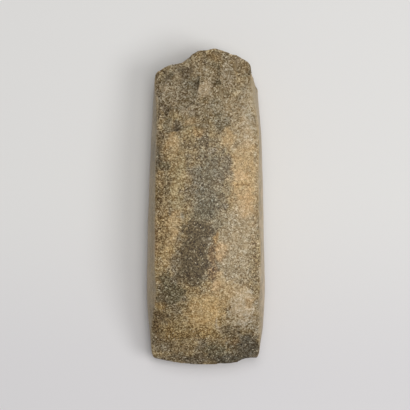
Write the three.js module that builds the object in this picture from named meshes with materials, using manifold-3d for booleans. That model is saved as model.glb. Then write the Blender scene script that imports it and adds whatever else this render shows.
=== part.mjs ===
// The head of a ground stone adze, lying on its flat lower face.
//
// The cutting edge points along -Y and the snapped butt along +Y, X runs across the blade and Z is up, in
// millimetres. The origin is on the flat of the lower face, halfway between the edge and the butt's peak.
// The body is ground: a crowned upper face, side facets that slope out to a widest line low down, and two
// bevels that meet at the cutting edge. The butt is broken and flaked, and the edge is chipped.
import * as THREE from "three";
import { mergeVertices } from "three/addons/utils/BufferGeometryUtils.js";
import Module from "manifold-3d";

const wasm = await Module();
wasm.setup();

// Driving dimensions.
const LENGTH = 160; // cutting edge to the peak of the butt
const WIDTH = 60.3; // across the widest line, a quarter of the way up from the edge
const THICKNESS = 34; // lower face to the top of the crown
const CROWN = 4.2; // how far the upper face falls from its middle to its ridges
const EDGE_HEIGHT = 11.5; // the cutting edge above the lower face
const EDGE_LAND = 1.3; // thickness of the blunted cutting edge
const EDGE_BOW = 3.5; // how far the corners of the edge stand back from its middle
const BREAK_LEAN = 4; // how far the broken face leans in, from its upper rim to the lower face
const BREAK_RIPPLE = 1.6; // depth of the ripples on the broken face
const BREAK_SWAY = 1.5; // how far the creases of the broken face wander across

// How finely the shapes are divided.
const STATIONS = 42; // along the body
const FLAT_STEPS = 2; // across half of the flat of the lower face
const UNDER_STEPS = 2; // from the flat to the lower corner
const LOWER_SIDE_STEPS = 3; // from the lower corner up to the widest line
const UPPER_SIDE_STEPS = 4; // from the widest line up to the ridge
const CROWN_STEPS = 8; // from the ridge to the middle of the upper face
const BREAK_ROWS = 11; // up the broken face
const SCOOP_FACET = 2.5; // size of the facets in a flake scar

// Shares that the form keeps at any size.
const HALF_WIDTH = WIDTH / 2;
const BREAK_TOP = 0.69 * THICKNESS; // below this height the broken face turns away from its upper rim
const LOWER_CORNER = 0.06 * THICKNESS; // height of the lower corner above the flat
const CORNER_MOST = 0.2; // the lower corner's most share of the height of a side
const WIDEST_LEAST = 0.3; // the widest line stays between these shares of the way from corner to ridge
const WIDEST_MOST = 0.7;
const SIDE_BULGE = 0.048 * HALF_WIDTH; // how far the side facets bulge between their edges
const OVERRUN = 0.05; // share of the length that the unbroken body runs past the break
const SPACING = 1.35; // above 1, the stations stand closer together near the cutting edge
const BOW_POWER = 2.4; // above 2, the cutting edge is flat in the middle and turns at its corners
const RIM_SINK = 0.3; // depth of a scar as a share of the half height of the ellipsoid that leaves it

// A smooth curve through [place, value] stations that never overshoots them.
function profile(stations) {
  const last = stations.length - 1;
  const rate = stations.slice(1).map(([p, v], i) => (v - stations[i][1]) / (p - stations[i][0]));
  const slope = stations.map((_, i) => {
    if (i === 0) return rate[0];
    if (i === last) return rate[last - 1];
    const [before, after] = [rate[i - 1], rate[i]];
    return before * after <= 0 ? 0 : (2 * before * after) / (before + after);
  });
  return (place) => {
    const p = Math.min(Math.max(place, stations[0][0]), stations[last][0]);
    let i = 0;
    while (i < last - 1 && p > stations[i + 1][0]) i += 1;
    const [p0, v0] = stations[i];
    const [p1, v1] = stations[i + 1];
    const h = p1 - p0;
    const t = (p - p0) / h;
    const rest = 1 - t;
    return (
      v0 * (1 + 2 * t) * rest * rest +
      v1 * t * t * (3 - 2 * t) +
      h * t * rest * (slope[i] * rest - slope[i + 1] * t)
    );
  };
}

// Places along the body are shares of the length: 0 at the cutting edge and 1 at the peak of the butt.
// The widest line of each side, as a share of half the width.
const outline = {
  left: profile([
    [0, 0.87], [0.012, 0.908], [0.03, 0.92], [0.06, 0.932], [0.11, 0.963], [0.17, 0.99], [0.23, 1],
    [0.36, 0.988], [0.52, 0.968], [0.65, 0.938], [0.77, 0.911], [0.87, 0.879], [1.05, 0.84],
  ]),
  right: profile([
    [0, 0.86], [0.012, 0.89], [0.03, 0.905], [0.06, 0.93], [0.11, 0.97], [0.17, 0.99], [0.25, 1],
    [0.36, 0.985], [0.52, 0.972], [0.65, 0.955], [0.77, 0.921], [0.87, 0.881], [1.05, 0.84],
  ]),
};

// The ridge between the upper face and each side facet, as a share of half the width.
const ridge = {
  left: profile([
    [0, 0.862], [0.03, 0.912], [0.06, 0.922], [0.12, 0.903], [0.18, 0.862], [0.24, 0.822], [0.3, 0.85],
    [0.43, 0.846], [0.58, 0.842], [0.71, 0.826], [0.8, 0.817], [0.88, 0.842], [1.05, 0.82],
  ]),
  right: profile([
    [0, 0.852], [0.03, 0.9], [0.06, 0.911], [0.12, 0.888], [0.19, 0.882], [0.3, 0.91], [0.36, 0.912],
    [0.46, 0.882], [0.6, 0.876], [0.71, 0.888], [0.77, 0.86], [0.85, 0.785], [1.05, 0.75],
  ]),
};

// Heights. The upper face rises from the edge to its crown, and the lower face from its flat to the edge.
const crownRise = profile([
  [0, 0], [0.02, 0.1], [0.06, 0.27], [0.12, 0.52], [0.18, 0.76], [0.235, 0.93], [0.29, 0.99],
  [0.35, 1], [0.5, 0.985], [0.65, 0.94], [0.8, 0.85], [0.9, 0.76], [1.05, 0.6],
]);
const crownFall = profile([[0, 0.05], [0.06, 0.35], [0.15, 0.7], [0.26, 1], [0.8, 1], [1.05, 0.8]]);
const underRise = profile([[0, 1], [0.03, 0.72], [0.08, 0.38], [0.13, 0.14], [0.19, 0]]);
const widestLine = profile([[0, 0.335], [0.1, 0.33], [0.24, 0.36], [0.6, 0.37], [0.9, 0.34], [1.05, 0.32]]);
const cornerReach = profile([[0, 0.97], [0.08, 0.93], [0.2, 0.87], [1.05, 0.85]]);
const flatReach = profile([[0, 0.9], [0.1, 0.75], [0.2, 0.6], [1.05, 0.6]]);
const bowFade = profile([[0, 1], [0.12, 0.55], [0.25, 0]]);

const EDGE_TOP = EDGE_HEIGHT + EDGE_LAND / 2;
const EDGE_BOTTOM = EDGE_HEIGHT - EDGE_LAND / 2;
const upperMiddle = (s) => EDGE_TOP + (THICKNESS - EDGE_TOP) * crownRise(s);
const lowerMiddle = (s) => EDGE_BOTTOM * underRise(s);
const sideOf = (x) => (x < 0 ? "left" : "right");
const widestX = (side, s) => HALF_WIDTH * outline[side](s);
const ridgeX = (side, s) => HALF_WIDTH * Math.min(ridge[side](s), outline[side](s));

// Height of the upper face at a place across and along.
function upperFace(x, s) {
  const share = Math.min(Math.abs(x) / ridgeX(sideOf(x), s), 1);
  return upperMiddle(s) - CROWN * crownFall(s) * share * share;
}

// Y of a place along the body: the lines near the cutting edge are bowed as the edge is.
function yAt(x, s) {
  const share = Math.min(Math.abs(x) / widestX(sideOf(x), s), 1);
  return (s - 0.5) * LENGTH + EDGE_BOW * bowFade(s) * share ** BOW_POWER;
}

// Half of a section: [across, height] from the middle of the lower face, out and up to the crown's middle.
function halfSection(s, side) {
  const widest = widestX(side, s);
  const ridgeAcross = ridgeX(side, s);
  const ridgeHeight = upperMiddle(s) - CROWN * crownFall(s);
  const low = lowerMiddle(s);
  const corner = widest * cornerReach(s);
  const flat = widest * flatReach(s);
  const cornerHeight = low + Math.min(LOWER_CORNER, (ridgeHeight - low) * CORNER_MOST);
  const sideRise = ridgeHeight - cornerHeight;
  const widestHeight = THREE.MathUtils.clamp(
    THICKNESS * widestLine(s),
    cornerHeight + sideRise * WIDEST_LEAST,
    cornerHeight + sideRise * WIDEST_MOST,
  );
  const points = [];
  const run = (steps, place) => {
    for (let i = 0; i < steps; i += 1) points.push(place(i / steps));
  };
  run(FLAT_STEPS, (t) => [flat * t, low]);
  run(UNDER_STEPS, (t) => [flat + (corner - flat) * t, low + (cornerHeight - low) * t * t]);
  run(LOWER_SIDE_STEPS, (t) => [
    corner + (widest - corner) * Math.sin((t * Math.PI) / 2),
    cornerHeight + (widestHeight - cornerHeight) * t,
  ]);
  run(UPPER_SIDE_STEPS, (t) => [
    widest + (ridgeAcross - widest) * t * t * (1.5 - 0.5 * t) + SIDE_BULGE * t * t * (1 - t),
    widestHeight + (ridgeHeight - widestHeight) * t,
  ]);
  run(CROWN_STEPS, (t) => {
    const across = ridgeAcross * (1 - t);
    return [across, upperFace(side === "left" ? -across : across, s)];
  });
  points.push([0, upperMiddle(s)]);
  return points;
}

// A closed ring of points round the body at one place along it.
function ringAt(s) {
  const right = halfSection(s, "right");
  const left = halfSection(s, "left").slice(1, -1).reverse();
  const around = [...right, ...left.map(([x, z]) => [-x, z])];
  return around.map(([x, z]) => new THREE.Vector3(x, yAt(x, s), z));
}

// Rings joined into one closed skin, with a fan over each end.
function skin(rings) {
  const around = rings[0].length;
  const middleOf = (ring) => ring.reduce((sum, p) => sum.add(p), new THREE.Vector3()).divideScalar(around);
  const points = [...rings.flat(), middleOf(rings[0]), middleOf(rings[rings.length - 1])];
  const firstMiddle = rings.length * around;
  const index = [];
  for (let j = 0; j < around; j += 1) {
    const next = (j + 1) % around;
    for (let i = 0; i + 1 < rings.length; i += 1) {
      const [a, b] = [i * around + j, i * around + next];
      const [c, d] = [b + around, a + around];
      index.push(a, c, b, a, d, c);
    }
    const top = (rings.length - 1) * around;
    index.push(firstMiddle, j, next, firstMiddle + 1, top + next, top + j);
  }
  const geometry = new THREE.BufferGeometry().setFromPoints(points);
  geometry.setIndex(index);
  return geometry;
}

// Stations stand closer together where the bevels turn into the faces and at the cutting edge.
function body() {
  const rings = [];
  for (let i = 0; i <= STATIONS; i += 1) {
    const t = i / STATIONS;
    rings.push(ringAt((1 + OVERRUN) * t ** SPACING));
  }
  return skin(rings);
}

// A three.js geometry as a solid that can be cut.
function solidOf(geometry) {
  const bare = geometry.clone();
  bare.deleteAttribute("normal");
  bare.deleteAttribute("uv");
  const merged = mergeVertices(bare, 1e-4);
  return new wasm.Manifold(
    new wasm.Mesh({
      numProp: 3,
      vertProperties: new Float32Array(merged.attributes.position.array),
      triVerts: new Uint32Array(merged.index.array),
    }),
  );
}

// The line where the butt is snapped, seen from above: [share of half the width, share of the length].
const BREAK_LINE = [
  [-1.1, 0.85], [-0.92, 0.895], [-0.868, 0.914], [-0.817, 0.929], [-0.767, 0.933], [-0.7, 0.942],
  [-0.6, 0.951], [-0.516, 0.952], [-0.4, 0.957], [-0.315, 0.97], [-0.164, 0.989], [-0.114, 0.993],
  [0.02, 0.994], [0.087, 0.998], [0.154, 1], [0.221, 0.996], [0.372, 0.987], [0.422, 0.982],
  [0.506, 0.982], [0.573, 0.976], [0.657, 0.968], [0.722, 0.962], [0.755, 0.952], [0.765, 0.943],
  [0.774, 0.924], [0.798, 0.908], [0.856, 0.889], [0.874, 0.88], [1.1, 0.81],
];

// The broader arch that the lower part of the broken face follows, in the same shares.
const breakArch = profile([
  [-1.1, 0.9], [-0.8, 0.928], [-0.4, 0.954], [0, 0.982],
  [0.3, 0.985], [0.6, 0.966], [0.8, 0.93], [1.1, 0.86],
]);

// Ripples on the broken face at a place across and down, from 0 to 1 of their full depth.
const ripple = (across, fall) =>
  0.5 + 0.3 * Math.sin(across * 7 + fall * 5) + 0.2 * Math.sin(across * 17 - fall * 9 + 1.3);

// The block that takes the end off. At the upper rim its near face follows the break line. Further down it
// turns into the broader arch, ripples, sways and leans in towards the lower face.
function breakBlock() {
  const columns = BREAK_LINE.length - 1;
  const farEnd = LENGTH * (0.5 + 2 * OVERRUN);
  const block = new THREE.BoxGeometry(columns, 1, THICKNESS * 1.12, columns, 1, BREAK_ROWS);
  const place = block.attributes.position;
  for (let i = 0; i < place.count; i += 1) {
    const [across, along] = BREAK_LINE[Math.round(place.getX(i) + columns / 2)];
    const z = place.getZ(i) + THICKNESS / 2;
    const fall = THREE.MathUtils.clamp(1 - z / BREAK_TOP, 0, 1);
    const turned = Math.min(fall * 3, 1);
    const arch = along + (breakArch(across) - along) * turned;
    const cut = BREAK_LEAN * fall ** 1.3 + BREAK_RIPPLE * ripple(across, fall) * turned;
    const near = (Math.min(along, arch) - 0.5) * LENGTH - cut;
    const sway = BREAK_SWAY * Math.sin(fall * 7 + across * 4) * turned;
    place.setXYZ(i, across * HALF_WIDTH + sway, place.getY(i) < 0 ? near : farEnd, z);
  }
  return block;
}

const breakAlong = profile(BREAK_LINE);

// The places that flakes were struck from, and the way each one faces.
const FACES = {
  top: (a, s) => [a * HALF_WIDTH, yAt(a * HALF_WIDTH, s), upperFace(a * HALF_WIDTH, s)],
  under: (a, s) => [a * HALF_WIDTH, yAt(a * HALF_WIDTH, s), lowerMiddle(s)],
  butt: (a, up) => [a * HALF_WIDTH, (breakAlong(a) - 0.5) * LENGTH - BREAK_LEAN / 2, up * THICKNESS],
  edge: (a) => [a * HALF_WIDTH, yAt(a * HALF_WIDTH, 0), EDGE_HEIGHT],
};
const OUTWARD = { top: [0, 0, 1], under: [0, 0, -1], butt: [0, 1, 0], edge: [0, -1, 0] };

// Each scar: its face and its two place values on it, its length, width and depth as shares of the length
// of the adze, and the turn of its long side in degrees.
const SCARS = [
  // The upper face at the butt: hollows that run into each other and fade out towards the ground face.
  ["top", -0.47, 0.888, 0.15, 0.12, 0.0115, 35],
  ["top", -0.24, 0.965, 0.12, 0.06, 0.009, 155],
  ["top", -0.84, 0.9, 0.1, 0.05, 0.009, 70],
  ["top", -0.7, 0.813, 0.085, 0.05, 0.006, 80],
  ["top", -0.55, 0.762, 0.065, 0.05, 0.007, 5],
  ["top", -0.3, 0.81, 0.13, 0.09, 0.0045, 50],
  ["top", -0.06, 0.875, 0.08, 0.05, 0.0055, 75],
  ["top", 0.1, 0.945, 0.11, 0.06, 0.008, 85],
  ["top", 0.4, 0.915, 0.08, 0.055, 0.0065, 100],
  ["top", 0.7, 0.955, 0.08, 0.05, 0.011, 60],
  ["top", 0.62, 0.87, 0.12, 0.08, 0.0065, 70],
  ["top", 0.2, 0.82, 0.16, 0.1, 0.0055, 20],
  // The broken face.
  ["butt", -0.45, 0.37, 0.19, 0.085, 0.014, 8],
  ["butt", 0.1, 0.34, 0.2, 0.095, 0.018, 165],
  ["butt", 0.6, 0.33, 0.16, 0.08, 0.013, 12],
  ["butt", -0.8, 0.3, 0.1, 0.075, 0.01, 30],
  // The lower face at the butt.
  ["under", -0.34, 0.955, 0.26, 0.15, 0.008, 10],
  ["under", 0.5, 0.915, 0.2, 0.15, 0.007, 60],
  ["under", -0.84, 0.9, 0.15, 0.08, 0.009, 80],
  // Chips along the cutting edge.
  ["edge", 0.647, 0, 0.018, 0.03, 0.0105, 0],
  ["edge", 0.78, 0, 0.06, 0.04, 0.006, 0],
  ["edge", 0.24, 0, 0.026, 0.03, 0.0045, 0],
  ["edge", -0.36, 0, 0.02, 0.024, 0.0025, 0],
];

// What makes the rim of a scar uneven, each as [waves round the rim, share of the radius].
const RIM_WAVES = [[2, 0.12], [3, 0.09], [5, 0.04]];
const RIM_SHIFT = 2.4; // how much the waves turn from one scar to the next, in radians

// An uneven ellipsoid sunk into the face, so that the hollow has the scar's length, width and depth.
function scoop([face, first, second, long, wide, deep, turn], order) {
  const reach = Math.sqrt(1 - (1 - RIM_SINK) ** 2);
  const half = new THREE.Vector3(long / 2 / reach, wide / 2 / reach, deep / RIM_SINK).multiplyScalar(LENGTH);
  const around = THREE.MathUtils.clamp(Math.round((half.x * Math.PI * 2) / SCOOP_FACET), 16, 36);
  const outward = new THREE.Vector3(...OUTWARD[face]);
  const up = new THREE.Vector3(0, 0, 1);
  const facing = new THREE.Quaternion()
    .setFromUnitVectors(up, outward)
    .multiply(new THREE.Quaternion().setFromAxisAngle(up, THREE.MathUtils.degToRad(turn)));
  const middle = new THREE.Vector3(...FACES[face](first, second));
  middle.addScaledVector(outward, half.z - deep * LENGTH);
  const ball = new THREE.SphereGeometry(1, around, Math.round(around / 2));
  const place = ball.attributes.position;
  for (let i = 0; i < place.count; i += 1) {
    const [x, y] = [place.getX(i), place.getY(i)];
    const angle = Math.atan2(y, x);
    const shift = angle + order * RIM_SHIFT;
    const uneven = RIM_WAVES.reduce((sum, [waves, share]) => sum + share * Math.sin(waves * shift), 1);
    place.setXYZ(i, x * uneven, y * uneven, place.getZ(i));
  }
  return ball.applyMatrix4(new THREE.Matrix4().compose(middle, facing, half));
}

// The snapped, flaked and chipped stone.
function adzeHead() {
  let stone = solidOf(body()).subtract(solidOf(breakBlock()));
  SCARS.forEach((scar, order) => {
    stone = stone.subtract(solidOf(scoop(scar, order)));
  });
  const mesh = stone.getMesh();
  const geometry = new THREE.BufferGeometry();
  geometry.setAttribute("position", new THREE.BufferAttribute(mesh.vertProperties, mesh.numProp));
  geometry.setIndex(new THREE.BufferAttribute(mesh.triVerts, 1));
  geometry.computeVertexNormals();
  const material = new THREE.MeshStandardMaterial({ color: 0x8a7b62, roughness: 0.62, metalness: 0 });
  const head = new THREE.Mesh(geometry, material);
  head.name = "adze_head";
  return head;
}

const adze = new THREE.Group();
adze.add(adzeHead());

export default adze;
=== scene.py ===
import math

import bmesh
import bpy
import numpy as np
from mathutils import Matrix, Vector, noise


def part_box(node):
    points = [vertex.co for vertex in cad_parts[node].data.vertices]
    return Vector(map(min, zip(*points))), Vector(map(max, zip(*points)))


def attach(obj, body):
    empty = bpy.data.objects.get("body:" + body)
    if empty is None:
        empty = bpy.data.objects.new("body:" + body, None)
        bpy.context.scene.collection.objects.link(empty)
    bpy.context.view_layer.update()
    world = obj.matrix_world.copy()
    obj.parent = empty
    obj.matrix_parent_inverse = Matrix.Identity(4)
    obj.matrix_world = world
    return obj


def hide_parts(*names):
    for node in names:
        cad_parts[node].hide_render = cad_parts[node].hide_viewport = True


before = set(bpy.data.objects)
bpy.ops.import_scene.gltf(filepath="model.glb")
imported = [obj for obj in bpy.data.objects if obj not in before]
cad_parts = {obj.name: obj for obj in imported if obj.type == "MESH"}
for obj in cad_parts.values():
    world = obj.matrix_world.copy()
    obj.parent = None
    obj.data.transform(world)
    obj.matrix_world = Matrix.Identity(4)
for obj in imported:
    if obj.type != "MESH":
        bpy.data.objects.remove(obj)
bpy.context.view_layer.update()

bl_info = {
    "name": "Stone adze",
    "version": (1, 0, 0),
    "blender": (4, 5, 0),
    "location": "3D View > Sidebar > Stone adze",
    "description": "Builds the ground stone adze head, its weathered stone and the stage it lies on",
    "category": "Add Mesh",
}

NODE = "adze_head"
PIECE = "adze_stone"
MM = 0.001
LOW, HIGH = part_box(NODE)
LENGTH = (HIGH.y - LOW.y) / MM
THICKNESS = HIGH.z / MM

# Colours of the stone, as seen in full light, in 0 to 255.
SHADES = {
    "drab": (116, 104, 83),
    "olive": (117, 105, 82),
    "slate": (109, 101, 82),
    "steel": (110, 104, 85),
    "fog": (124, 117, 98),
    "moss": (95, 86, 63),
    "cocoa": (92, 79, 59),
    "charcoal": (86, 73, 50),
    "soot": (76, 69, 55),
    "umber": (92, 74, 46),
    "loam": (106, 91, 65),
    "pecan": (124, 103, 69),
    "rust": (121, 98, 67),
    "mustard": (130, 105, 60),
    "bronze": (126, 108, 75),
    "beige": (137, 124, 98),
    "putty": (141, 128, 107),
    "tan": (146, 127, 92),
    "straw": (154, 137, 102),
    "honey": (167, 142, 100),
    "amber": (168, 138, 93),
    "ochre": (172, 145, 108),
    "sand": (176, 152, 114),
    "peach": (190, 162, 124),
    "ash": (160, 145, 119),
    "pewter": (163, 151, 129),
    "mist": (176, 160, 136),
    "wheat": (187, 159, 113),
    "chalk": (192, 176, 152),
    "cream": (205, 192, 164),
}

# Stains of the upper face and the sides, some of them painted light and painted shade as their names say:
# what each is, its middle across and along the stone, its half width and half length, all in millimetres,
# its turn in degrees, its shade, its strength and how soft its rim is, both from 0 to 1. A later stain lies
# over the earlier ones.
STAINS_AND_PAINTED_LIGHT = [
    # Broad fields of colour.
    ("olive butt", -3, 58, 22, 21, 0, "olive", 0.8, 0.6),
    ("grey middle", 2, 13, 9, 21, 0, "slate", 0.78, 0.55),
    ("brown left side", -23, 14, 4.5, 27, 0, "pecan", 0.75, 0.5),
    ("tan left of the middle", -16, 16, 5.5, 18, -8, "tan", 0.85, 0.5),
    ("warm band down the right", 20.5, 15, 8, 28, 0, "sand", 0.95, 0.55),
    ("tan upper right", 20.5, 42, 4.5, 13, 0, "mist", 0.65, 0.6),
    ("straw right of the middle", 14.5, 36, 4.8, 9, 0, "ash", 0.7, 0.5),
    ("pale right ridge", 26, 25, 2, 32, 0, "ash", 0.6, 0.6),
    ("yellow left side", -20.5, -18, 6, 15, 0, "honey", 0.6, 0.5),
    ("ashy right side", 16, -18, 10, 20, 0, "ash", 0.95, 0.4),
    ("grey lower right", 13.5, -33, 8, 11, 0, "ash", 0.5, 0.5),
    ("tan below the middle", 8, -44, 11, 9, 0, "sand", 0.65, 0.5),
    ("honey patch above the edge", -0.5, -54, 11.5, 10, 10, "wheat", 0.85, 0.55),
    ("pale patch by the right corner", 19, -49, 7, 9.5, 0, "chalk", 0.8, 0.5),
    ("brown bevel", -18, -60, 10, 12, 0, "bronze", 0.6, 0.5),
    ("tan left side", -31, -8, 4.4, 60, 0, "tan", 0.85, 0.4),
    # Painted light: the right side, which faces the light, made paler.
    ("painted light on the right side", 30, 5, 2.6, 76, 0, "chalk", 0.95, 0.4),
    # The butt.
    ("brown rim of the butt", -4.5, 73, 7, 2.6, 32, "loam", 0.65, 0.4),
    ("brown peak", 4, 76, 5, 2.5, 0, "pecan", 0.6, 0.5),
    # Painted shade: a facet of the butt that is turned away from the light.
    ("painted shade on the facet under the rim", -9.5, 67, 4.6, 2.4, 38, "cocoa", 0.75, 0.4),
    ("dark left corner of the butt", -21, 66, 5, 2.6, 20, "moss", 0.6, 0.5),
    ("dark left rim of the butt", -25, 60, 1.8, 8, 0, "cocoa", 0.7, 0.5),
    ("dark rim below it", -25.8, 47, 2.8, 7, 0, "cocoa", 0.9, 0.5),
    # Beige stone, and painted light where this facet faces the light.
    ("beige facet of the butt with painted light", -20.5, 59, 2.8, 5.5, -5, "putty", 0.65, 0.4),
    ("pale grey by the dark scar", -2, 68.5, 5.5, 3.6, 20, "ash", 0.75, 0.5),
    ("grey green scar", -7, 60.5, 4.4, 4.2, 25, "steel", 0.5, 0.45),
    ("dark heart of the scar", -3.4, 63.5, 1.6, 2.4, 0, "moss", 0.5, 0.5),
    ("pale scar of the butt", -0.5, 59.5, 3, 5, -25, "mist", 0.75, 0.35),
    ("ash below the pale scar", 3, 55, 4, 2.6, 0, "ash", 0.5, 0.5),
    ("dark spot by the pale scar", 6.5, 62, 1.8, 2.6, -30, "moss", 0.8, 0.5),
    # Painted shade: the wall of the seam that faces away from the light.
    ("painted shade on the seam of the butt", 5.8, 69, 1.3, 4.6, 8, "moss", 0.6, 0.5),
    ("pale facet right of the seam", 11, 65.5, 3.2, 6.5, 10, "putty", 0.9, 0.4),
    ("dark seam at the right corner", 16.5, 69.5, 1.8, 4.2, 15, "loam", 0.6, 0.5),
    ("beige rim at the right corner", 16, 74.5, 4, 1.8, 0, "putty", 0.6, 0.5),
    ("brown right corner", 20, 66.5, 3.6, 7, 0, "bronze", 0.7, 0.5),
    ("brown below the pale facet", 13.5, 60, 2.6, 2.4, 0, "loam", 0.45, 0.5),
    ("bluish grey spot", 5.8, 49.5, 3, 5.5, 0, "fog", 0.85, 0.4),
    ("grey field below it", 7.5, 43.5, 5.5, 5, 0, "fog", 0.6, 0.5),
    ("tan right of the butt", 12.5, 51, 5, 5.5, 0, "ash", 0.75, 0.5),
    ("pale strip right of the butt", 22.5, 52, 4.8, 17, 0, "pewter", 0.85, 0.6),
    ("brown below the scar", -2.5, 53.5, 4.5, 2.6, 0, "bronze", 0.7, 0.5),
    ("drab left of the scar", -13.5, 54, 8, 9, 0, "drab", 0.6, 0.5),
    # Painted shadow in the hollow under the flake scar.
    ("painted shadow in the hollow at the left", -20.5, 48.5, 2, 4.2, 10, "cocoa", 0.85, 0.4),
    ("beige below the butt", -7.5, 48, 4, 2.6, 0, "putty", 0.7, 0.5),
    ("dark spot below it", -3.8, 46, 2, 2, 0, "loam", 0.8, 0.5),
    ("orange stain above the step", -7, 43, 5, 2.2, 10, "sand", 0.55, 0.5),
    ("brown above the step", -15.5, 44.5, 4, 3, 0, "straw", 0.5, 0.5),
    ("pale spot by the step", -19, 41, 1.9, 4, 0, "beige", 0.95, 0.35),
    # Painted shade in the notch behind the step, and a cream stain with painted light on the lip below it.
    ("painted shade in the notch of the step", -14.8, 40.4, 2.2, 2.8, 0, "cocoa", 0.85, 0.35),
    ("cream lip of the step with painted light", -9.5, 37.2, 7, 1.5, 14, "straw", 0.7, 0.5),
    ("orange stain on the lip", -3.8, 36.8, 2.8, 2.2, 0, "amber", 0.5, 0.5),
    # The upper half.
    ("dark left band", -23.2, 32, 2.4, 9, 0, "cocoa", 0.55, 0.5),
    ("tan patch below the step", -16.8, 32.5, 4.2, 5.5, 0, "sand", 0.75, 0.5),
    ("brown below the step", -8.5, 31, 5.5, 2.8, 5, "loam", 0.7, 0.5),
    ("brown spot in the middle", -1.5, 32, 3.4, 2.2, -10, "loam", 0.75, 0.5),
    ("sand right of the middle", 11.5, 34.5, 3.8, 5, 0, "sand", 0.85, 0.5),
    ("sand by the peach patch", 15, 25, 3, 4, 0, "sand", 0.7, 0.5),
    ("pale patch of laths", 3.5, 28.8, 2.8, 1.8, 0, "putty", 0.9, 0.5),
    ("dark left ridge", -26, 25, 3, 9, 0, "soot", 0.85, 0.5),
    ("dark spot on the left side", -29, 28, 3, 8.5, 0, "charcoal", 0.95, 0.4),
    ("dark lower left edge", -30, -67, 3, 8, 0, "charcoal", 0.75, 0.5),
    ("dark rim down the left", -27, 5, 1.8, 16, 0, "loam", 0.6, 0.6),
    ("dark patch by the ridge", -21.2, 20.5, 3.4, 3, 0, "moss", 0.85, 0.5),
    ("cream streak", -13.6, 14.5, 2.8, 12, -16, "straw", 0.95, 0.4),
    ("tan spot left of the grey", -9, 14, 3, 4, 0, "tan", 0.6, 0.5),
    ("dark spot in the grey", 0, 3, 6.5, 6, 0, "slate", 0.9, 0.5),
    ("tan spot in the grey", 6.5, 13.5, 2.4, 2.8, 0, "putty", 0.6, 0.5),
    ("brown left of the streak", -19.3, 12, 2, 7.5, 0, "loam", 0.75, 0.5),
    ("tan left ridge", -25, 8, 1.8, 6, 0, "bronze", 0.6, 0.5),
    ("dark spot right of the middle", 10.2, 23, 3.2, 4.2, 0, "drab", 0.85, 0.5),
    ("peach patch", 17.5, 16.5, 3.6, 3.2, 0, "peach", 0.8, 0.5),
    ("orange spots", 17.5, 11.5, 4, 1.6, 0, "amber", 0.8, 0.5),
    ("peach band", 19.5, 1, 4, 8, -8, "peach", 0.75, 0.5),
    ("orange end of the band", 15.5, -3, 3, 2.4, 30, "ochre", 0.6, 0.5),
    ("ash below the band", 14, -6, 9, 5, 0, "ash", 0.7, 0.5),
    ("olive left of the middle", -10, 5, 3, 3, 0, "olive", 0.25, 0.5),
    ("straw spot beside it", -14.5, 3.5, 4, 5, 0, "straw", 0.75, 0.5),
    ("grey green below the middle", -1, -3, 7.5, 5, 0, "slate", 0.9, 0.4),
    ("grey right of the charcoal", 7, -10, 5, 6, 0, "beige", 0.7, 0.5),
    ("dark seam above the charcoal", -2.5, -4.5, 8, 3.2, 0, "moss", 0.55, 0.5),
    # The lower half.
    ("cream left of the charcoal", -16, -8, 3.4, 7, -12, "sand", 0.9, 0.45),
    ("brown left ridge", -25.2, -16, 1.8, 9, 0, "rust", 0.7, 0.5),
    ("top of the charcoal patch", -4, -11, 8.4, 5.2, 0, "charcoal", 0.95, 0.25),
    ("charcoal patch", -6, -25, 7.6, 12.5, 2, "charcoal", 0.97, 0.22),
    ("brown under the charcoal", -5.5, -41.5, 5.5, 3, 0, "pecan", 0.6, 0.5),
    ("foot of the charcoal patch", -6.5, -36, 5.2, 3.6, 0, "charcoal", 0.85, 0.4),
    ("charcoal below left", -9.5, -33.5, 5.5, 3.6, 0, "charcoal", 0.8, 0.3),
    ("ochre tip of the streak", 5.4, -15.5, 1.5, 3.2, 0, "amber", 0.8, 0.4),
    ("ochre streak", 7.4, -22.3, 2.8, 5, 8, "ochre", 0.85, 0.5),
    ("brown side of the streak", 3.4, -23.5, 1.7, 6, 0, "rust", 0.9, 0.4),
    ("rust under the streak", 3.6, -33, 2.8, 4.4, 0, "rust", 0.95, 0.35),
    ("ochre below the rust", 5.2, -39, 2.6, 2.4, 0, "ochre", 0.8, 0.45),
    ("sand right of the rust", 8, -35, 2.6, 4, 0, "sand", 0.6, 0.5),
    ("yellow right of the ochre", 10, -12, 3, 7, -20, "ash", 0.5, 0.5),
    ("brown on the left side", -21.5, -13, 3.6, 7, 0, "pecan", 0.6, 0.5),
    ("olive right side", 24, -28, 2.8, 11, 0, "bronze", 0.6, 0.5),
    ("brown spot by the right ridge", 23.5, -17, 2, 2, 0, "pecan", 0.7, 0.5),
    ("olive left of the charcoal", -16, -28.5, 2.2, 3.6, 0, "drab", 0.7, 0.5),
    ("dark head of the lower patch", -20, -36, 3, 4.4, 10, "moss", 0.85, 0.35),
    ("dark patch lower left", -17, -43, 7.4, 5.8, 12, "moss", 0.95, 0.3),
    ("dark left of the patch", -22, -46, 3.4, 4.5, 0, "cocoa", 0.6, 0.5),
    ("brown left of the bevel", -21.5, -54.5, 3, 3, 0, "umber", 0.7, 0.5),
    ("brown below the patch", -11.5, -49.5, 4.4, 2, 0, "bronze", 0.7, 0.5),
    ("rusty left corner", -23, -49, 2.8, 2.4, 0, "mustard", 0.6, 0.5),
    ("pale gap", -4, -51.5, 4, 4, -35, "sand", 0.6, 0.5),
    ("dark left side of the bevel", -25, -59, 2.6, 12, 3, "umber", 0.9, 0.45),
    ("mustard bevel", -14, -62, 9.5, 6.5, 0, "mustard", 0.7, 0.5),
    ("tan in the bevel", -13, -59, 5, 5, 0, "straw", 0.35, 0.5),
    ("brown in the mustard", -16, -67, 3, 2, 0, "pecan", 0.4, 0.5),
    ("mustard below the honey", 1, -64, 7.5, 2.8, 0, "mustard", 0.65, 0.5),
    ("pale scratch", 6.3, -58.8, 0.9, 4, 22, "mist", 0.8, 0.4),
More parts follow.
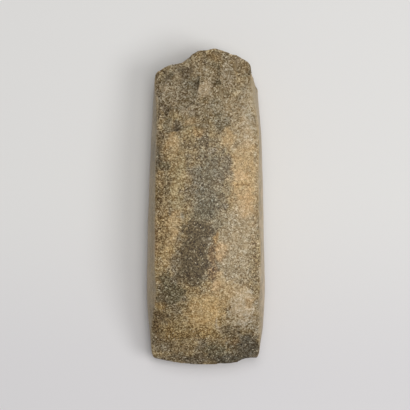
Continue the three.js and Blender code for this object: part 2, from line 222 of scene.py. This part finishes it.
    ("ochre spots above the edge", -9.5, -70.5, 4, 1.6, 0, "pecan", 0.7, 0.5),
    ("orange spot by the right corner", 22.2, -48, 2.6, 2.4, 0, "ochre", 0.7, 0.5),
    ("grey left of the corner", 13.5, -57.5, 4.4, 4, 0, "ash", 0.5, 0.5),
    ("pale spot above the dark corner", 21.5, -59, 4.6, 3, 0, "pewter", 0.4, 0.5),
    ("pale right ridge of the bevel", 25.5, -60, 2.6, 6, 0, "pewter", 0.6, 0.6),
    ("brown above the corner", 12, -62.5, 5, 4, 10, "loam", 0.85, 0.5),
    ("dark right corner", 21, -71, 9.5, 8, 10, "soot", 0.9, 0.65),
    # Partly painted shade: dark stone along the cutting edge, darkened more where the bevel curves down from
    # the light.
    ("dark line along the edge with painted shade", 0, -76.6, 27, 3, 0, "cocoa", 0.7, 0.5),
    ("olive in the honey", 0, -62.5, 5, 3.5, 0, "mustard", 0.45, 0.5),
    # Partly painted shade along the cutting edge, as above.
    ("darker right of the edge with painted shade", 14, -77, 12, 3, 0, "soot", 0.9, 0.5),
    ("dark middle of the edge with painted shade", 5, -72.5, 8, 3.8, 0, "moss", 0.9, 0.5),
    ("umber left of the middle", -15.5, -72.5, 4, 2.4, 0, "umber", 0.6, 0.5),
    ("grey left corner", -21.8, -71.3, 4.4, 2.4, 0, "drab", 0.8, 0.5),
    ("rusty spot by the edge", 13.5, -68, 3, 2, 0, "rust", 0.6, 0.5),
    ("white fleck", 11.6, -68.2, 0.7, 0.6, 0, "cream", 0.9, 0.4),
    ("white fleck above it", 10.2, -70.6, 0.5, 0.5, 0, "cream", 0.9, 0.4),
    # Faint washes of painted light and painted shade over the rest, evening out how the lamps light the
    # stone.
    ("painted shade over the cutting end", 0, -66, 42, 24, 0, "soot", 0.11, 0.4),
    ("painted shade on the cutting bevel", 0, -78, 36, 8, 0, "soot", 0.24, 0.5),
    ("painted shadow right of the charcoal patch", 10.5, -8, 7, 6, 0, "moss", 0.2, 0.5),
    ("painted shade at the right edge", 19.5, -28.5, 5, 5, 0, "moss", 0.2, 0.5),
    ("painted light below the break", 10.5, 49, 4.5, 4.5, 0, "ash", 0.45, 0.5),
    ("greyer butt with painted light", -2, 59, 27, 18, 0, "ash", 0.17, 0.5),
    ("painted light right of the peak", 14.5, 68, 10.5, 5, 0, "ash", 0.28, 0.5),
]


class Flow:
    """A value in a material's nodes, so that shader maths reads as ordinary sums."""

    def __init__(self, recipe, socket):
        self.recipe = recipe
        self.socket = socket

    def _math(self, operation, first, second):
        return self.recipe.node("ShaderNodeMath", {"operation": operation}, {0: first, 1: second})

    def __add__(self, other):
        return self._math("ADD", self, other)

    def __radd__(self, other):
        return self._math("ADD", other, self)

    def __sub__(self, other):
        return self._math("SUBTRACT", self, other)

    def __rsub__(self, other):
        return self._math("SUBTRACT", other, self)

    def __mul__(self, other):
        return self._math("MULTIPLY", self, other)

    def __rmul__(self, other):
        return self._math("MULTIPLY", other, self)


class Recipe:
    """The nodes of one material."""

    def __init__(self, name):
        self.material = bpy.data.materials.new(name)
        self.material.use_nodes = True
        self.tree = self.material.node_tree
        self.tree.nodes.clear()

    def node(self, kind, settings=None, values=None, output=0):
        """Adds a node: its settings first, then the values or links of its sockets."""
        made = self.tree.nodes.new(kind)
        for name, value in (settings or {}).items():
            setattr(made, name, value)
        for key, value in (values or {}).items():
            if isinstance(value, Flow):
                self.tree.links.new(value.socket, made.inputs[key])
            else:
                made.inputs[key].default_value = value
        return Flow(self, made.outputs[output]) if made.outputs else None

    def mix(self, colour, other, share):
        """Part of one colour laid over another."""
        settings = {"data_type": "RGBA", "clamp_factor": True}
        return self.node("ShaderNodeMix", settings, {0: share, 6: colour, 7: other}, 2)

    def darken(self, colour, amount):
        """A colour times a number."""
        values = {0: colour, "Scale": amount}
        return self.node("ShaderNodeVectorMath", {"operation": "SCALE"}, values)

    def shift(self, place, other):
        """Two vectors added."""
        return self.node("ShaderNodeVectorMath", {"operation": "ADD"}, {0: place, 1: other})

    def noise(self, place, size, detail, roughness, output=0):
        """Soft noise whose features are about size across, as a number or, with an output of 1, a vector."""
        values = {"Vector": place, "Scale": 1 / size, "Detail": detail, "Roughness": roughness}
        return self.node("ShaderNodeTexNoise", {}, values, output)

    def cells(self, place, size):
        """Grains about size across: two chance values for each, from 0 to 1."""
        values = {"Vector": place, "Scale": 1 / size}
        shade = self.node("ShaderNodeTexVoronoi", {"feature": "F1"}, values, 1)
        return [self.node("ShaderNodeSeparateColor", {}, {0: shade}, channel) for channel in (0, 1)]

    def step(self, value, start, end):
        """0 below start, 1 above end and smooth between them; the other way round if start is above end."""
        settings = {"interpolation_type": "SMOOTHSTEP", "clamp": True}
        if start > end:
            values = {"Value": value, "From Min": end, "From Max": start, "To Min": 1.0, "To Max": 0.0}
        else:
            values = {"Value": value, "From Min": start, "From Max": end}
        return self.node("ShaderNodeMapRange", settings, values)

    def attribute(self, name, output=2):
        """A value stored on the mesh, or a colour with an output of 0."""
        return self.node("ShaderNodeAttribute", {"attribute_name": name}, {}, output)


def linear(shade, gain):
    """A shade from 0 to 255 as linear light times a gain, with an alpha of 1."""
    parts = [c / 255 for c in shade]
    parts = [c / 12.92 if c <= 0.04045 else ((c + 0.055) / 1.055) ** 2.4 for c in parts]
    return (*[c * gain for c in parts], 1.0)


def smooth_step(start, end, value):
    """0 at start, 1 at end and smooth between them."""
    t = min(max((value - start) / (end - start), 0.0), 1.0)
    return t * t * (3 - 2 * t)


# Steps in the upper face, where a flake broke off short: the two ends of each in millimetres, its depth, and
# how far the hollow behind it runs on before it fades. The hollow is on the left on the way from the first
# end to the second.
STEPS = [
    (-20.6, 37, -14, 38.4, 1.1, 4),
    (-14.5, 38.6, -2, 43, 0.5, 5),
    (-4.6, 58, -3.2, 66, 1.0, 6),
    (8, 63, 6.6, 74, 0.8, 5),
    (18, 69, 16.4, 75.5, 0.7, 3),
    (-6, 72.6, -23, 66, 1.0, 5),
    (-19, 49, -22, 54, 0.7, 4),
    (-9, 46, -1, 53, 0.6, 4),
    (12, 60, 6, 52, 0.3, 5),
]

# Where the relief changes, each as the two values it changes between. A place is a share of the length from
# the cutting edge, and a turn is a part of the surface's outward direction.
STEPS_FROM = 0.65  # steps lie only beyond this place
STEPS_TURN = (0.3, 0.7)  # and fade where the surface doesn't face up
SIDE_TURN = (0.45, 0.8)  # from the upper or lower face to a side facet
BUTT_PLACE = (0.7, 0.8)  # from the ground upper face to the flaked butt
BUTT_TURN = (0.2, 0.7)  # from the other faces to the flaked butt
BREAK_PLACE = (0.84, 0.88)  # where the broken face of the butt begins
BREAK_TURN = (0.35, 0.7)  # from the other faces to the broken face
END_PLACE = (0.86, 0.95)  # where all sides grow a little rougher towards the break
EDGE_PLACE = (0.02, 0.08)  # where the relief fades towards the cutting edge
UPPER_TURN = (-0.2, 0.25)  # from the bare lower face to the stained sides and upper face

EASED_PART = (0.05, 0.86)  # the part of the length whose corners are eased, between the edge and the break

# The spacing of the relief, in millimetres.
LARGE_FACE = 6.5  # the larger small faces of the broken butt
SMALL_FACE = 3.1  # the smaller ones laid over them
WAVE_SPAN = 15  # broad waves left by grinding
GRAIN_SPAN = 2.4  # pecked grain
FINE_SPAN = 1.15  # finer grain on it
PIT_SPAN = 3.1  # small pits of the ground faces


def hinge_depth(x, y):
    """How deep the steps lie at a place on the upper face, in millimetres."""
    depth = 0.0
    for x0, y0, x1, y1, deep, run in STEPS:
        along = Vector((x1 - x0, y1 - y0))
        length = along.length
        along /= length
        place = Vector((x - x0, y - y0))
        t = place.dot(along) / length
        behind = along.x * place.y - along.y * place.x
        behind += 0.5 * noise.noise(Vector((x, y, 7.0)) / 2.5)
        if -0.2 < t < 1.2 and 0 < behind < 4 * run:
            ends = smooth_step(-0.2, 0.15, t) * smooth_step(1.2, 0.85, t)
            depth = max(depth, deep * ends * smooth_step(0, 0.5, behind) * math.exp(-behind / run))
    return depth


def flake_depth(place, size, depth):
    """A broken surface of small tilted faces."""
    wobble = noise.noise_vector(place / (size * 0.6)) * size * 0.25
    _, centres = noise.voronoi((place + wobble) / size)
    centre = Vector(centres[0])
    tilt = noise.noise_vector(centre * 5.7 + Vector((3.1, 1.7, 9.2)))
    rise = 0.5 + 0.5 * noise.noise(centre * 3.3)
    return depth * min(max(rise + (place / size - centre).dot(tilt) * 1.5, 0.0), 1.6)


# What is noted for each vertex: how hollow, rough, side-on and upper it is, which way and how far the rims
# of stains wander there, how ragged they are, and how far the body colour drifts.
MARKS = ("hollow", "rough", "side", "upper", "wander_x", "wander_y", "ragged", "drift")


def carve(bm, settings):
    """Sinks the fine relief into the stone and returns the marks of each vertex."""
    bm.normal_update()
    marks = []
    moves = []
    grind = settings.undulation / MM
    peck = settings.pecking / MM
    flake = settings.flaking / MM
    for vertex in bm.verts:
        p = vertex.co / MM
        n = vertex.normal
        share = (p.y - LOW.y / MM) / LENGTH
        side = smooth_step(*SIDE_TURN, abs(n.x))
        wander = 0.04 * noise.noise(p / 9)
        butt = smooth_step(*BUTT_PLACE, share + wander) * smooth_step(*BUTT_TURN, n.z)
        broken = smooth_step(*BREAK_TURN, n.y) * smooth_step(*BREAK_PLACE, share)
        rough = max(butt, broken, 0.35 * smooth_step(*END_PLACE, share))
        edge = smooth_step(*EDGE_PLACE, share)
        wave = 0.5 + 0.5 * noise.fractal(p / WAVE_SPAN, 1.0, 2.0, 2)
        grain = 0.5 + 0.5 * noise.fractal(p / GRAIN_SPAN, 0.9, 2.0, 3)
        fine = 0.5 + 0.5 * noise.noise(p / FINE_SPAN)
        cell, _ = noise.voronoi(p / PIT_SPAN)
        pitted = noise.noise(p / 3.7 + Vector((5, 5, 5))) + 0.3
        pit = smooth_step(0.22, 0.08, cell[0]) * smooth_step(0.1, 0.5, pitted)
        ground = (1 - rough) * (1 - 0.75 * side)
        depth = grind * wave
        depth += peck * ground * (0.8 * grain + 0.5 * fine) + 1.6 * peck * pit * ground
        relief = 0.0
        if rough > 0.01:
            relief = flake_depth(p, LARGE_FACE, flake)
            relief += flake_depth(p + Vector((11, 4, 2)), SMALL_FACE, flake * 0.45)
            relief *= 1.35 - 0.85 * broken
            relief += peck * (1.3 * grain + 0.8 * fine)
        depth += rough * relief
        hinge = 0.0
        if share > STEPS_FROM:
            hinge = hinge_depth(p.x, p.y) * smooth_step(*STEPS_TURN, n.z)
        depth += hinge
        # How hollow the vertex is, which the material turns into painted shade.
        hollow = ground * (0.5 * (grain + fine) + pit) + rough * (relief / flake * 0.5) + hinge
        depth *= (0.3 + 0.7 * edge) * (1 - 0.5 * smooth_step(0.96, 1, share))
        moves.append(n * depth * MM)
        wander = noise.noise_vector(p / 5.0) * 1.8 + noise.noise_vector(p / 1.9) * 0.8
        ragged = 0.7 * noise.noise(p / 2.1) + 0.5 * noise.noise(p / 0.8)
        drift = 0.65 * noise.fractal(p / 9, 0.8, 2.0, 3) + 0.35 * noise.noise(p / 3)
        upper = smooth_step(*UPPER_TURN, n.z)
        marks.append((hollow, rough, side, upper, wander.x, wander.y, ragged, drift))
    for vertex, move in zip(bm.verts, moves):
        vertex.co -= move
    return dict(zip(MARKS, np.array(marks).T))


def soft_share(values, start, end):
    """smooth_step for a whole list at once, which may also fall from 1 at end to 0 at start."""
    t = np.clip((values - start) / (end - start), 0.0, 1.0)
    return t * t * (3 - 2 * t)


def paint(mesh, marks, gain):
    """The broad colours of the vertices: the body colour and the stains over it, with painted light and
    shade among them.
    """
    places = np.empty(len(mesh.vertices) * 3)
    mesh.vertices.foreach_get("co", places)
    places = places.reshape(-1, 3) / MM
    x_all = places[:, 0] + marks["wander_x"]
    y_all = places[:, 1] + marks["wander_y"]
    shades = {name: np.array(linear(value, gain)) for name, value in SHADES.items()}
    body = soft_share(marks["drift"], -0.4, 0.4)[:, None]
    colours = shades["drab"] * (1 - body) + shades["tan"] * body
    for _, x, y, wide, tall, turn, name, strength, soft in STAINS_AND_PAINTED_LIGHT:
        ahead = math.cos(math.radians(turn))
        aside = math.sin(math.radians(turn))
        across = ((x_all - x) * ahead + (y_all - y) * aside) / wide
        along = ((y_all - y) * ahead - (x_all - x) * aside) / tall
        reach = np.hypot(across, along) + marks["ragged"] * 0.3
        share = soft_share(reach, 1 + soft * 0.5, 1 - soft) * marks["upper"] * strength
        colours += (shades[name] - colours) * share[:, None]
    return colours


def stone_mesh(settings):
    """The stone's surface, finely divided, with its relief."""
    noise.seed_set(settings.seed)
    bm = bmesh.new()
    bm.from_mesh(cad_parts[NODE].data)
    bmesh.ops.remove_doubles(bm, verts=bm.verts, dist=1e-6)
    rough_mesh = bpy.data.meshes.new(PIECE + "_solid")
    bm.to_mesh(rough_mesh)
    bm.free()

    source = bpy.data.objects.new(PIECE + "_solid", rough_mesh)
    bpy.context.scene.collection.objects.link(source)
    remesh = source.modifiers.new("Remesh", "REMESH")
    remesh.mode = "VOXEL"
    remesh.voxel_size = settings.surface_step
    depsgraph = bpy.context.evaluated_depsgraph_get()
    mesh = bpy.data.meshes.new_from_object(source.evaluated_get(depsgraph))
    mesh.name = PIECE
    bpy.data.objects.remove(source)
    bpy.data.meshes.remove(rough_mesh)

    bm = bmesh.new()
    bm.from_mesh(mesh)
    start, end = (LOW.y + share * LENGTH * MM for share in EASED_PART)
    ground = [vertex for vertex in bm.verts if start < vertex.co.y < end]
    for step in range(settings.rounding):
        verts = ground if step else bm.verts
        bmesh.ops.smooth_vert(bm, verts=verts, factor=0.5, use_axis_x=True, use_axis_y=True, use_axis_z=True)
    marks = carve(bm, settings)
    for face in bm.faces:
        face.smooth = True
    bm.to_mesh(mesh)
    bm.free()
    for name in ("hollow", "rough", "side"):
        layer = mesh.attributes.new(name, "FLOAT", "POINT")
        layer.data.foreach_set("value", marks[name])
    layer = mesh.attributes.new("stains_and_painted_light", "FLOAT_COLOR", "POINT")
    layer.data.foreach_set("color", paint(mesh, marks, settings.albedo_gain).ravel())
    return mesh


COOL_TINT = (1.01, 0.985, 0.9, 1)  # what the colour is multiplied by in the cooler clouds
WARM_TINT = (1.11, 1.03, 0.89, 1)  # and in the warmer ones
FINER_SHARE = 0.6  # width of the finer crystals as a share of the usual one
GRAIN_TINT = (0.87, 1.05, 1.45)  # how strongly the crystals lighten and darken red, green and blue
GRAIN_FLOOR = (0.97, 0.97, 0.97)  # the gain of a crystal of middling lightness, before it is squared
PIT_SPREAD = 5  # the spacing of the small dark pits, in crystals


def stone_material(settings):
    """Weathered crystalline stone: stains, painted light and shade, crystals, pits and polished side facets.
    """
    r = Recipe("adze_stone")
    gain = settings.albedo_gain
    shade = {name: linear(value, gain) for name, value in SHADES.items()}
    place = r.node("ShaderNodeTexCoord", {}, {}, 3)
    place = r.node("ShaderNodeVectorMath", {"operation": "SCALE"}, {0: place, "Scale": 1 / MM})
    rough = r.attribute("rough")
    side = r.attribute("side")
    hollow = r.attribute("hollow")
    colour = r.attribute("stains_and_painted_light", 0)

    # The polished side facets are paler and more even, with faint streaks along them.
    lengthwise = r.node("ShaderNodeVectorMath", {"operation": "MULTIPLY"}, {0: place, 1: (1, 0.2, 1)})
    streaks = r.noise(lengthwise, 3.0, 3.0, 0.6)
    polished = r.mix(shade["beige"], shade["mist"], r.step(streaks, 0.3, 0.7))
    colour = r.mix(colour, polished, side * 0.5)

    # Small clouds of warmer and cooler stone.
    calm = 1 - side * 0.6
    warmth = r.step(r.noise(place, 3.4, 3.0, 0.65), 0.36, 0.64)
    tint = r.mix(COOL_TINT, WARM_TINT, warmth)
    colour = r.node("ShaderNodeVectorMath", {"operation": "MULTIPLY"}, {0: colour, 1: tint})

    # Crystals: pale and dark grains, about a millimetre across, and finer ones between them. They show less
    # where the stone is pale.
    paleness = r.node("ShaderNodeSeparateColor", {}, {0: colour}, 1)
    calm = calm * (0.38 + r.step(paleness, 0.4, 0.12) * 0.72)
    size = settings.crystal_size / MM
    wander = r.noise(place, size * 1.5, 2.0, 0.6, 1)
    tumbled = r.shift(place, r.darken(wander, 0.25))
    cell, cell_hue = r.cells(tumbled, size)
    finer, _ = r.cells(tumbled, size * FINER_SHARE)
    colour = r.mix(colour, shade["rust"], r.step(cell_hue, 0.8, 1.0) * calm * 0.1)
    grain = ((finer - 0.5) * 0.95 + r.step(cell, 0.7, 0.95) * 0.25 - r.step(cell, 0.3, 0.05) * 0.15) * calm
    values = {0: grain, 1: GRAIN_TINT, 2: GRAIN_FLOOR}
    sparkle = r.node("ShaderNodeVectorMath", {"operation": "MULTIPLY_ADD"}, values)
    sparkle = r.node("ShaderNodeVectorMath", {"operation": "MULTIPLY"}, {0: sparkle, 1: sparkle})
    colour = r.node("ShaderNodeVectorMath", {"operation": "MULTIPLY"}, {0: colour, 1: sparkle})
    colour = r.mix(colour, shade["cream"], r.step(finer, 0.965, 0.99) * calm * 0.6)

    # Small dark pits.
    spacing = size * PIT_SPREAD
    depth = r.node("ShaderNodeTexVoronoi", {"feature": "F1"}, {"Vector": tumbled, "Scale": 1 / spacing})
    spared, _ = r.cells(tumbled, spacing)
    pit = r.step(depth - spared * 0.45, -0.33, -0.38)
    colour = r.darken(colour, 1 - pit * 0.6)

    # Painted shade: the colour is darker where the surface is hollow, in the pecked grain, the pits and
    # behind the steps, and lighter where it is not.
    colour = r.darken(colour, 1.22 - hollow * 0.36)

    roughness = 0.6 + rough * 0.16 - side * 0.2 + (finer - 0.5) * 0.2
    bump_height = finer * 0.4 + cell * 0.3 - pit * 0.6
    bump = r.node("ShaderNodeBump", {}, {"Strength": 0.6, "Distance": 0.00025, "Height": bump_height})
    skin = r.node(
        "ShaderNodeBsdfPrincipled",
        {},
        {"Base Color": colour, "Roughness": roughness, "Normal": bump, "Specular IOR Level": 0.4},
    )
    r.node("ShaderNodeOutputMaterial", {}, {"Surface": skin})
    return r.material


def floor_material(settings):
    """A plain pale floor, with painted shade making it a little darker towards the side of the cutting edge.
    """
    r = Recipe("stage_floor")
    place = r.node("ShaderNodeTexCoord", {}, {}, 3)
    along = r.node("ShaderNodeSeparateXYZ", {}, {0: place}, 1)
    shaded_colour, far = (*settings.painted_shade_floor_colour, 1.0), (*settings.floor_colour, 1.0)
    # Painted shade: the floor darkens towards the side of the cutting edge, standing in for the light
    # falling off there.
    colour = r.mix(shaded_colour, far, r.step(along, *FLOOR_FADE))
    skin = r.node("ShaderNodeBsdfPrincipled", {}, {"Base Color": colour, "Roughness": 0.9})
    r.node("ShaderNodeOutputMaterial", {}, {"Surface": skin})
    return r.material


# Soft lights: name, share of the full power, angle above the floor and turn from +X, in degrees.
LIGHTS = [
    ("right light", 0.42, 52, -13),
    ("overhead light", 0.37, 82, 0),
    ("back light", 0.23, 70, 90),
]

CAMERA_PLACE = (-0.0004, 0.00115)  # the camera across and along, in metres
SENSOR_WIDTH = 36.0  # in millimetres
FARTHEST = 20.0  # how far the camera sees, in metres
FLOOR_HALF = 3.0  # half the width of the floor, in metres
FLOOR_FADE = (-0.1, 0.015)  # between these places along Y, in metres, the floor's painted shade gives way to its plain colour


class AdzeStoneSettings(bpy.types.PropertyGroup):
    """Sizes and looks of the stone."""

    surface_step: bpy.props.FloatProperty(
        name="Surface step", description="Spacing of the fine surface's vertices",
        default=0.00056, min=0.0003, unit="LENGTH", subtype="DISTANCE")
    rounding: bpy.props.IntProperty(
        name="Rounding", description="How many times the ground corners are smoothed", default=5, min=0)
    undulation: bpy.props.FloatProperty(
        name="Undulation", description="Depth of the broad waves that grinding left",
        default=0.0003, unit="LENGTH", subtype="DISTANCE")
    pecking: bpy.props.FloatProperty(
        name="Pecking", description="Depth of the pecked and weathered grain",
        default=0.00014, unit="LENGTH", subtype="DISTANCE")
    flaking: bpy.props.FloatProperty(
        name="Flaking", description="Depth of the small faces of the broken butt",
        default=0.0009, unit="LENGTH", subtype="DISTANCE")
    crystal_size: bpy.props.FloatProperty(
        name="Crystal size", description="Usual width of the stone's crystals",
        default=0.00085, unit="LENGTH", subtype="DISTANCE")
    seed: bpy.props.IntProperty(
        name="Seed", description="Chooses one run of the broken faces and the stains' rims",
        default=1, min=1)
    albedo_gain: bpy.props.FloatProperty(
        name="Lightness", description="Lightness of all the stone's colours", default=1.04, min=0.1)


class AdzeStageSettings(bpy.types.PropertyGroup):
    """The floor, the light and the camera."""

    floor_colour: bpy.props.FloatVectorProperty(
        name="Floor colour", description="Colour of the pale floor", subtype="COLOR",
        default=(0.80, 0.79, 0.775))
    # Painted shade: the darker floor colour beside and below the cutting edge.
    painted_shade_floor_colour: bpy.props.FloatVectorProperty(
        name="Painted shade floor colour", description="Colour of the painted shade on the floor beside and below the cutting edge",
        subtype="COLOR", default=(0.738, 0.722, 0.731))
    light_power: bpy.props.FloatProperty(
        name="Light power", description="Power of each soft light before its own share",
        default=20.0, unit="POWER")
    light_size: bpy.props.FloatProperty(
        name="Light size", description="Width of each soft light",
        default=0.8, unit="LENGTH", subtype="DISTANCE")
    light_distance: bpy.props.FloatProperty(
        name="Light distance", description="From the stone to each soft light",
        default=1.6, unit="LENGTH", subtype="DISTANCE")
    sky: bpy.props.FloatProperty(
        name="Room light", description="Brightness of the even light of the room", default=0.22)
    camera_height: bpy.props.FloatProperty(
        name="Camera height", description="The camera above the floor",
        default=1.2, unit="LENGTH", subtype="DISTANCE")
    view_width: bpy.props.FloatProperty(
        name="View width", description="Width of what the camera sees, at half the height of the stone",
        default=0.2071, unit="LENGTH", subtype="DISTANCE")


class ADZE_OT_build_head(bpy.types.Operator):
    """Build the stone head of the adze with its relief and its material"""

    bl_idname = "adze.build_head"
    bl_label = "Build the stone head"

    def execute(self, context):
        settings = context.scene.adze_stone
        piece = bpy.data.objects.new(PIECE, stone_mesh(settings))
        context.scene.collection.objects.link(piece)
        piece.data.materials.clear()
        piece.data.materials.append(stone_material(settings))
        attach(piece, "root")
        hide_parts(NODE)
        return {"FINISHED"}


class ADZE_OT_build_stage(bpy.types.Operator):
    """Build the floor, the light and the camera"""

    bl_idname = "adze.build_stage"
    bl_label = "Build the stage"

    def execute(self, context):
        scene = context.scene
        settings = scene.adze_stage
        bm = bmesh.new()
        bmesh.ops.create_grid(bm, x_segments=1, y_segments=1, size=FLOOR_HALF)
        mesh = bpy.data.meshes.new("stage_floor")
        bm.to_mesh(mesh)
        bm.free()
        mesh.materials.append(floor_material(settings))
        floor = bpy.data.objects.new("stage_floor", mesh)
        scene.collection.objects.link(floor)

        for name, share, height, turn in LIGHTS:
            light = bpy.data.lights.new(name, "AREA")
            light.shape = "DISK"
            light.size = settings.light_size
            light.energy = settings.light_power * share
            flat = math.cos(math.radians(height))
            turn = math.radians(turn)
            lamp = bpy.data.objects.new(name, light)
            lamp.location = settings.light_distance * Vector(
                (flat * math.cos(turn), flat * math.sin(turn), math.sin(math.radians(height))))
            lamp.rotation_euler = (-lamp.location).to_track_quat("-Z", "Y").to_euler()
            scene.collection.objects.link(lamp)

        world = bpy.data.worlds.new("room")
        world.use_nodes = True
        room = world.node_tree.nodes["Background"]
        room.inputs["Color"].default_value = (1.0, 1.0, 1.0, 1.0)
        room.inputs["Strength"].default_value = settings.sky
        scene.world = world

        camera = bpy.data.cameras.new("camera")
        camera.sensor_width = SENSOR_WIDTH
        middle = THICKNESS * MM / 2
        camera.lens = camera.sensor_width * (settings.camera_height - middle) / settings.view_width
        camera.clip_end = FARTHEST
        seat = bpy.data.objects.new("camera", camera)
        seat.location = (*CAMERA_PLACE, settings.camera_height)
        scene.collection.objects.link(seat)
        scene.camera = seat
        scene.view_settings.view_transform = "Standard"
        scene.view_settings.look = "None"
        return {"FINISHED"}


class ADZE_PT_panel(bpy.types.Panel):
    """Lists the steps that build the adze"""

    bl_idname = "ADZE_PT_panel"
    bl_label = "Stone adze"
    bl_space_type = "VIEW_3D"
    bl_region_type = "UI"
    bl_category = "Stone adze"

    def draw(self, context):
        for group, operator in (("adze_stone", "adze.build_head"), ("adze_stage", "adze.build_stage")):
            settings = getattr(context.scene, group)
            for name in settings.__annotations__:
                self.layout.prop(settings, name)
            self.layout.operator(operator)


CLASSES = (AdzeStoneSettings, AdzeStageSettings, ADZE_OT_build_head, ADZE_OT_build_stage, ADZE_PT_panel)


def register():
    for item in CLASSES:
        bpy.utils.register_class(item)
    bpy.types.Scene.adze_stone = bpy.props.PointerProperty(type=AdzeStoneSettings)
    bpy.types.Scene.adze_stage = bpy.props.PointerProperty(type=AdzeStageSettings)


def unregister():
    del bpy.types.Scene.adze_stage
    del bpy.types.Scene.adze_stone
    for item in reversed(CLASSES):
        bpy.utils.unregister_class(item)


def main():
    register()
    bpy.ops.adze.build_head()
    bpy.ops.adze.build_stage()


if __name__ == "__main__":
    main()
